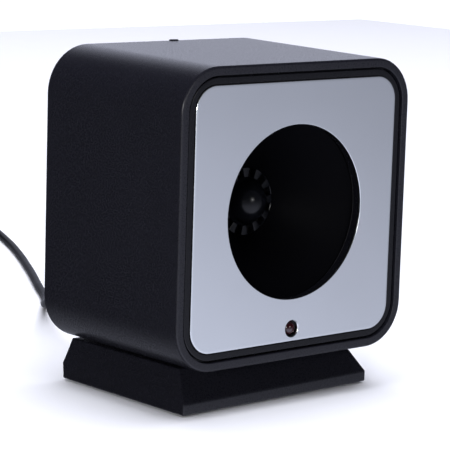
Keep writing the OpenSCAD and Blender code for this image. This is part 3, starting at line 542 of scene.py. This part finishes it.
# ------------------------------------------------------------------ circuit board
# Fibreglass board with a green mask, its parts soldered in by hand: a small ferrite transformer,
# three upright capacitors, two chips, six resistors and three white wire sockets.

# Glass-epoxy under green solder mask: straight copper tracks show as paler bands 2.5 mm apart
board_green, tree = new_finish("glass_epoxy_green_mask")
where = add(tree, "TexCoord").outputs["Object"]
upended = add(tree, "Mapping", {"Vector": where, "Rotation": (radians(90), 0, 0)})
tracks = add(tree, "TexBrick", {"Vector": upended.outputs["Vector"], "Color1": linear("#1d6b41"),
                                "Color2": linear("#1a5c3a"), "Mortar": linear("#134a2d"),
                                "Scale": 100.0, "Mortar Size": 0.02, "Row Height": 0.25})
weave = add(tree, "TexNoise", {"Vector": where, "Scale": 1600.0, "Detail": 1.0})
bump = add(tree, "Bump", {"Height": tracks.outputs["Fac"], "Strength": 0.3, "Distance": 0.00004})
rough = add(tree, "MapRange", {"Value": weave.outputs["Fac"], "To Min": 0.25, "To Max": 0.42})
skin = add(tree, "BsdfPrincipled", {"Base Color": tracks.outputs["Color"],
                                    "Roughness": rough.outputs["Result"],
                                    "Normal": bump.outputs["Normal"]})
add(tree, "OutputMaterial", {"Surface": skin.outputs["BSDF"]})
dress("main_board", board_green)
dress("board_screws", zinc)
# Ferrite, pressed and sintered: charcoal with a fine sparkle
dress("transformer_core", finish("ferrite_sintered", "#3b3b3f", (0.4, 0.6), 0.2, 0.02, 0.15, 0.2))
# Enamelled copper wire in neat layers: ridges half a millimetre apart
windings, tree = new_finish("copper_enamelled_wound")
where = add(tree, "TexCoord").outputs["Object"]
turns = add(tree, "TexWave", {"Vector": where, "Scale": 1000 / 0.5 / 20, "Distortion": 0.3},
            bands_direction="Z")
tone = add(tree, "Mix", {"Factor": turns.outputs["Fac"], 6: linear("#5e2f16"), 7: linear("#b8683a")},
           data_type="RGBA")
bump = add(tree, "Bump", {"Height": turns.outputs["Fac"], "Strength": 0.7, "Distance": 0.0001})
skin = add(tree, "BsdfPrincipled", {"Base Color": tone.outputs[2], "Roughness": 0.3, "Metallic": 0.7,
                                    "Normal": bump.outputs["Normal"]})
add(tree, "OutputMaterial", {"Surface": skin.outputs["BSDF"]})
dress("transformer_coil", windings)
# Shrunk vinyl sleeve over the aluminium cans: smooth dark blue
dress("capacitors", finish("vinyl_sleeve_blue", "#20315c", (0.22, 0.34), 1.0, 0.006))
# Epoxy moulded round the chips: flat black with a fine mould blast
dress("chips", finish("epoxy_moulded_chip", "#1b1b1e", (0.5, 0.62), 0.25, 0.01))
# Baked lacquer on the resistors: sand coloured, in colour rings across each body
lacquer, tree = new_finish("lacquer_baked_banded")
where = add(tree, "TexCoord").outputs["Object"]
rings_of_code = add(tree, "TexWave", {"Vector": where, "Scale": 1000 / 1.3 / 20, "Distortion": 0.0},
                    bands_direction="Z")
band = add(tree, "ValToRGB", {"Fac": rings_of_code.outputs["Fac"]})
for stop, at, colour in zip(band.color_ramp.elements, (0.86, 0.92), ("#c9ad80", "#7a3a1c")):
    stop.position, stop.color = at, linear(colour)
cloud = add(tree, "TexNoise", {"Vector": where, "Scale": 700.0})
rough = add(tree, "MapRange", {"Value": cloud.outputs["Fac"], "To Min": 0.25, "To Max": 0.4})
skin = add(tree, "BsdfPrincipled", {"Base Color": band.outputs["Color"],
                                    "Roughness": rough.outputs["Result"]})
add(tree, "OutputMaterial", {"Surface": skin.outputs["BSDF"]})
dress("resistors", lacquer)
# Nylon, moulded uncoloured: milky white
nylon_white = finish("nylon_moulded_natural", "#e2dfd3", (0.38, 0.5), 0.6, 0.01, 0.04)
dress("board_sockets", nylon_white)
# Soft PVC over stranded wire, one colour for each pair
for node, name, colour in (("horn_wires", "pvc_sleeve_red", "#8c2226"),
                           ("led_wires", "pvc_sleeve_blue", "#2a4f93"),
                           ("power_wires", "pvc_sleeve_yellow", "#b99a3c")):
    dress(node, finish(name, colour, (0.34, 0.46), 0.8, 0.01))

# ------------------------------------------------------------------ back cover
# A flat ABS lid let into the back of the housing behind four screws, with seven vent slots, a
# snap tab in the top wall, an oblong hole for the switch and a round one for the lead.


def eased(node, width, outer_only=True, steps=3, over=30):
    """A CAD node's triangles merged and its flat ones joined, then its edges sharper than an
    angle rounded: the outer ones only, whose two ends lie on the convex hull, or all of them."""
    shape = bmesh.new()
    shape.from_mesh(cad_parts[node].data)
    bmesh.ops.remove_doubles(shape, verts=shape.verts, dist=2e-6)
    bmesh.ops.dissolve_limit(shape, angle_limit=radians(0.3), verts=shape.verts, edges=shape.edges)
    shape.verts.index_update()
    hull = shape.copy()
    found = bmesh.ops.convex_hull(hull, input=hull.verts)
    inside = {v.index for key in ("geom_interior", "geom_unused") for v in found[key]
              if isinstance(v, bmesh.types.BMVert)}
    edges = [e for e in shape.edges if len(e.link_faces) == 2 and e.is_convex
             and e.calc_face_angle(0) > radians(over)
             and not (outer_only and any(v.index in inside for v in e.verts))]
    bmesh.ops.bevel(shape, geom=edges, offset=width / 1000, offset_type="OFFSET", segments=steps,
                    profile=0.5, affect="EDGES", clamp_overlap=False)
    shape.verts.index_update()
    points = np.array([v.co[:] for v in shape.verts]) * 1000
    faces = [tuple(v.index for v in f.verts) for f in shape.faces]
    hull.free()
    shape.free()
    return points, faces


cover = new_piece("back_lid", [eased("back_cover", 0.25)], housing_abs, "housing")
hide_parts("back_cover")
# Black-oxide steel screws: dark
dress("cover_screws", finish("steel_black_oxide", "#2a2a2e", (0.3, 0.45), 0.5, 0.006, 0.15, 0.9))

# ------------------------------------------------------------------ switch
# A bought rocker switch snapped into the lid: a black nylon case with a bezel, and an acetal
# rocker on an upright pin. Two brass tags stick out inside.
case = new_piece("switch_body", [eased("switch_case", 0.3)], nylon_black, "housing")
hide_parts("switch_case")
# Acetal, moulded: black and slippery smooth
acetal = finish("acetal_moulded_black", "#111114", (0.2, 0.3), 1.0, 0.004)
rocker = new_piece("switch_key", [eased("switch_rocker", 0.2, False)], acetal, "rocker")
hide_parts("switch_rocker")
dress("switch_tags", brass)

# ------------------------------------------------------------------ swivel and pedestal
# The spigot turns in the pedestal's top plate on an acetal ring, held by a washer and a screw
# from below. The pedestal is one hollow ABS moulding with an upright lip and sloping sides.

# Acetal, moulded uncoloured: white and waxy
dress("friction_ring", finish("acetal_moulded_natural", "#e4e3dc", (0.3, 0.4), 0.9, 0.006, 0.03))
dress("swivel_washer", zinc)
dress("swivel_screw", zinc)
pedestal = new_piece("pedestal_moulding", [eased("stand", 0.55, over=8)], housing_abs, "pedestal")
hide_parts("stand")
# Moulded rubber feet: matt, a little dusty
dress("stand_feet", finish("rubber_moulded", "#242426", (0.75, 0.9), 0.5, 0.03, 0.15))

# ------------------------------------------------------------------ strain relief
# A tapered sleeve of soft black PVC moulded round the lead, with a collar against the lid and
# five rings that let it bend.
grip_pvc = finish("soft_pvc_moulded", "#131316", (0.36, 0.48), 0.6, 0.01)
GRIP_L, GRIP_IN, NECK_R, COLLAR_R, COLLAR_T, SOFT_R = 18.0, 61, 3.1, 4.4, 2.4, 0.5
RINGS, RING_R, TAPER, GROOVE = 5, 3.4, 0.24, 0.65
bore, tip_y = LEAD_D / 2, BODY_D + GRIP_L
pitch = (GRIP_L - COLLAR_T - 2.0) / RINGS
rows = [(bore, GRIP_IN), (NECK_R, GRIP_IN), (NECK_R, BODY_D), (COLLAR_R, BODY_D),
        *quarter(COLLAR_R - SOFT_R, BODY_D + COLLAR_T - SOFT_R, SOFT_R, 0, 90, 4)]
# One ring is a groove, then a bead that rises and falls over a share of the pitch
ring_shape = ((GROOVE, 0.35), (0.2, 0.46), (0, 0.56), (0, 0.86), (0.2, 0.97))
for k in range(RINGS):
    start, radius = BODY_D + COLLAR_T + k * pitch, RING_R - TAPER * k
    rows += [(radius - GROOVE, start + 0.15)]
    rows += [(radius - low, start + share * pitch) for low, share in ring_shape]
rows += [(bore + 0.6, tip_y - 0.3), (bore + 0.4, tip_y), (bore, tip_y)]
grip = new_piece("strain_relief", [turned(rows, EXIT[0], EXIT[2] - MIDDLE_Z, 56, wrap=True)], grip_pvc,
                 "housing")
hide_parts("cord_grip")

# ------------------------------------------------------------------ tie and adapter
# The spare lead is wound up in a black nylon tie. At its end is a small plug-in adapter, a
# rounded ABS box welded from two halves, lying with its two round pins up.
TIE_Y, TIE_Z, TIE_HALF = EXIT[1] + COIL_Y + COIL_R, 6.8, 2
outside = rounded_loop(12.4, 13.5, 4.2, 8, 6)
inside = rounded_loop(11.2, 12.5, 3.6, 8, 6)
across = EXIT[0] + COIL_X


def tie_ring(loop, x):
    """Loop of depth and height round the bundle, at a place across it."""
    return np.column_stack([np.full(len(loop), across + x), TIE_Y + loop[:, 0], TIE_Z + loop[:, 1]])


band_rings = [tie_ring(loop_of_band, x) for loop_of_band, x in
              ((inside, -TIE_HALF), (0.985 * outside, -TIE_HALF), (outside, 0.2 - TIE_HALF),
               (outside, TIE_HALF - 0.2), (0.985 * outside, TIE_HALF), (inside, TIE_HALF))]
HEAD_Y = TIE_Y + 5.9
head = rounded_loop(5.2, 4.0, 0.7, 5, 3)
head_rings = [np.insert(np.array([across, TIE_Z]) + f * head, 1, HEAD_Y + y, axis=1)
              for f, y in ((0.9, 0), (1, 0.2), (1, 3.0), (0.92, 3.3))]
tie = new_piece("nylon_tie", [loft(band_rings, wrap=True), loft(head_rings, caps=True)], nylon_black,
                "housing")
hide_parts("cord_tie")

ADAPTER_X, COLLAR_Y = EXIT[0] + TAIL[-1][0], EXIT[1] + TAIL[-1][1]
BOX_W, BOX_L, BOX_H, BOX_R, SOFT_EDGE, COLLAR_OUT = 34.0, 50.0, 27.0, 4.0, 2, 9
BOX_Y = COLLAR_Y + COLLAR_OUT + BOX_L / 2
weld = [(0, 13.0), (0.35, 13.2), (0.35, 13.8), (0, 14.0)]
rows = (quarter(SOFT_EDGE, SOFT_EDGE, SOFT_EDGE, -90, -180, 6) + weld
        + quarter(SOFT_EDGE, BOX_H - SOFT_EDGE, SOFT_EDGE, 180, 90, 6))
box_rings = []
for inset, z in rows:
    loop_xy = rounded_loop(BOX_W - 2 * inset, BOX_L - 2 * inset, max(BOX_R - inset, 0.8), 8, 8)
    box_rings.append(np.insert(np.array([ADAPTER_X, BOX_Y]) + loop_xy, 2, z, axis=1))
rows = [(LEAD_D / 2, 0), (2.6, 0), (2.8, 0.2), (2.9, 1.6), (2.2, 1.9), (2.2, 2.6), (3.0, 3.0),
        (3.1, 4.4), (2.4, 4.7), (2.4, 5.4), (3.3, 5.8), (3.6, 7.6), (3.6, 10), (LEAD_D / 2, 10)]
collar = turned([(r, COLLAR_Y - FRONT_Y + y) for r, y in rows], ADAPTER_X, PLUG_H - MIDDLE_Z, 40,
                wrap=True)
adapter = new_piece("adapter", [loft(box_rings, caps=True), collar], housing_abs, "housing")
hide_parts("adapter_case")
# Nickel-plated brass pins: bright and slightly warm
dress("adapter_pins", finish("brass_nickel_plated", "#c8c6c0", (0.12, 0.22), 0.8, 0.003, 0.04, 1.0))

# ------------------------------------------------------------------ floor and light
# A pale matt table in a white studio, lit from above by one very large soft light, with a small
# key light at the left and a few weak cards.
paper = finish("paper_backdrop_matt", "#f4f4f6", (0.85, 0.95), 1.5, 0.01, 0.01)
bpy.ops.mesh.primitive_grid_add(x_subdivisions=2, y_subdivisions=2, size=2.4)
floor = bpy.context.object
floor.name = "floor"
floor.data.materials.append(paper)
floor.visible_glossy = False

scene = bpy.context.scene
scene.view_settings.view_transform = "Standard"
world = bpy.data.worlds.new("studio")
scene.world = world
world.use_nodes = True
tree = world.node_tree
tree.nodes.clear()
way = add(tree, "TexCoord").outputs["Generated"]


def ramp(value, low, high, dark, bright):
    """Smooth step of a number: dark up to low, bright from high."""
    return add(tree, "MapRange", {"Value": value, "From Min": low, "From Max": high, "To Min": dark,
                                  "To Max": bright}, interpolation_type="SMOOTHSTEP").outputs["Result"]


def times(a, b):
    """Product of two numbers."""
    return add(tree, "Math", {0: a, 1: b}, operation="MULTIPLY").outputs["Value"]


# What glossy faces see: a wide glow low behind the object, a pale table in front that fades to
# the right and upwards, and a dim room round them. The view itself has plain white behind the
# object.
axes = add(tree, "SeparateXYZ", {"Vector": way}).outputs
toward = Vector((0.6, 0.78, 0.14)).normalized()
cosine = add(tree, "VectorMath", {0: way, 1: tuple(toward)}, operation="DOT_PRODUCT").outputs["Value"]
back = ramp(cosine, 0.72, 1.0, 0.0, 1.15)
table = times(times(ramp(axes["Z"], 0.05, -0.4, 0.48, 1.85), ramp(axes["X"], 0.3, 1.05, 1.15, 0.3)),
              times(ramp(axes["Y"], -0.35, -0.65, 0.0, 1.0), ramp(axes["Z"], 0.0, 0.3, 1.0, 0.1)))
below = ramp(axes["Z"], -0.28, -0.7, 0.03, 0.45)
low_half = add(tree, "Math", {0: table, 1: below}, operation="ADD").outputs["Value"]
room = add(tree, "Math", {0: back, 1: low_half}, operation="ADD").outputs["Value"]
seen = add(tree, "LightPath").outputs["Is Camera Ray"]
strength = add(tree, "Mix", {0: seen, 2: room, 3: 1.4})
glow = add(tree, "Background", {"Color": linear("#e6eaff"), "Strength": strength.outputs[0]})
add(tree, "OutputWorld", {"Surface": glow.outputs["Background"]})


def soft_light(name, place, aim, size, power, colour="#ffffff"):
    """Square area light at a place, turned to face a point, both in metres."""
    panel = bpy.data.lights.new(name, "AREA")
    panel.size, panel.energy, panel.color = size, power, linear(colour)[:3]
    light = bpy.data.objects.new(name, panel)
    light.location = place
    light.rotation_euler = (Vector(aim) - Vector(place)).to_track_quat("-Z", "Y").to_euler()
    light.visible_camera = False
    bpy.context.collection.objects.link(light)
    return light


soft_light("key", (-0.73, -0.59, 0.24), (0, 0, 0.06), 0.12, 3.4)
# Two cards that only show in glossy edges: one at the left and one in front
for place, size, power in (((-0.86, -0.5, 0.3), 0.1, 2.5), ((0.1, -1.2, 0.35), 0.16, 2.6)):
    card = soft_light("card", place, (0, 0, 0.04), size, power)
    card.visible_diffuse = False
low_fill = soft_light("low_fill", (-0.4, 0.0, 0.03), (0, 0, 0.05), 0.25, 0.25)
low_fill.visible_glossy = False
overhead = soft_light("overhead", (0.1, -0.1, 3.0), (0, 0, 0), 3.0, 165, "#f3f5ff")
overhead.visible_glossy = False
